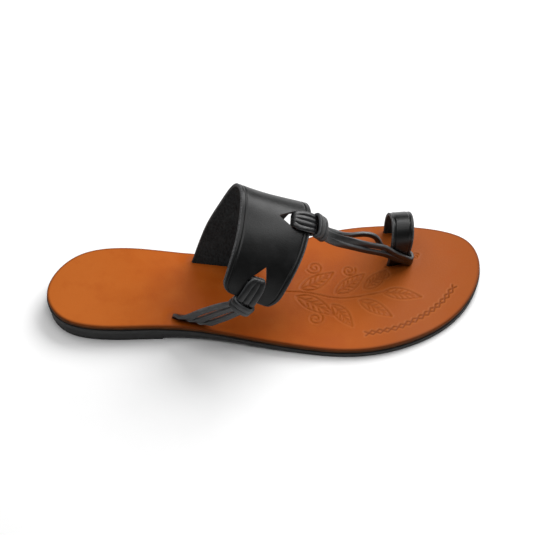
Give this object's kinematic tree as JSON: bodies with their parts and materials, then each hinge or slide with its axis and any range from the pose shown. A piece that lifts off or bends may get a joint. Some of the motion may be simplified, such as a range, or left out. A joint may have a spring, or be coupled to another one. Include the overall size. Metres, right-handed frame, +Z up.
{
  "type": "leather sandal",
  "caption": "Right-foot leather sandal: flat tan insole on a black rubber outsole with a low heel, a broad black instep band, a toe ring and knotted leather laces.",
  "frame": {"origin": "middle of the sandal's box in plan, on the floor that its outsole and heel block stand on", "axes": "+X towards the toe, +Y towards the medial (big toe) side, +Z up"},
  "size_m": [0.2658, 0.0958, 0.0869],
  "materials": {
    "sole_rubber": "matt black, fine-grained, with a split edge between outsole and heel block",
    "insole_leather": "smooth saddle-tan leather with a darker brown edge and shallow tooling on the forefoot",
    "strap_leather": "smooth black leather with a creased line beside each rim and a grey flesh side",
    "lace_leather": "soft black leather strips, slightly glossy along their edges"
  },
  "bodies": {
    "root": {"heel_block": "sole_rubber", "outsole": "sole_rubber", "insole": "insole_leather", "instep_band": "strap_leather", "toe_ring": "strap_leather", "toe_lace": "lace_leather", "side_lace": "lace_leather"}
  },
  "joints": []
}
